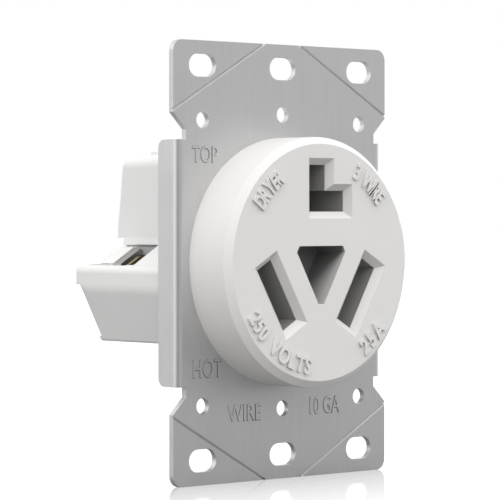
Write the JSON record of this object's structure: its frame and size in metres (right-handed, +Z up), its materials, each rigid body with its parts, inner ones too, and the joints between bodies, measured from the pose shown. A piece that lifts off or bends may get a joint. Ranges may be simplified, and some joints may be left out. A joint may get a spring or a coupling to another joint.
{
  "type": "straight blade receptacle",
  "caption": "Flush power receptacle: bevelled round face with slanted blade slots and an L slot, steel mounting strap with break-off ears, stepped rear body with screw terminals.",
  "frame": {"origin": "centre of the mounting strap's front face, midway between the four corner box screw slots", "axes": "+X to the right seen from the front, +Y to the rear into the wall box, +Z up along the strap"},
  "size_m": [0.0624, 0.0525, 0.0938],
  "materials": {
    "face_plastic": "satin moulded white",
    "body_plastic": "satin moulded white",
    "strap_steel": "zinc plated, matt",
    "contact_brass": "stamped",
    "clip_steel": "spring steel",
    "clamp_steel": "zinc plated",
    "nut_steel": "zinc plated",
    "neutral_screw_steel": "nickel plated",
    "hot_screw_brass": "turned",
    "fixing_steel": "zinc plated"
  },
  "bodies": {
    "root": {"face_cover": "face_plastic", "mounting_strap": "strap_steel", "rear_body": "body_plastic", "neutral_contact": "contact_brass", "neutral_contact_clip": "clip_steel", "neutral_clamp_plate": "clamp_steel", "neutral_terminal_nut": "nut_steel", "neutral_terminal_screw": "neutral_screw_steel", "hot_contact_left": "contact_brass", "hot_contact_clip_left": "clip_steel", "hot_clamp_plate_left": "clamp_steel", "hot_terminal_nut_left": "nut_steel", "hot_terminal_screw_left": "hot_screw_brass", "hot_contact_right": "contact_brass", "hot_contact_clip_right": "clip_steel", "hot_clamp_plate_right": "clamp_steel", "hot_terminal_nut_right": "nut_steel", "hot_terminal_screw_right": "hot_screw_brass", "assembly_screw_upper_left": "fixing_steel", "assembly_screw_upper_right": "fixing_steel", "assembly_screw_lower": "fixing_steel"}
  },
  "joints": []
}
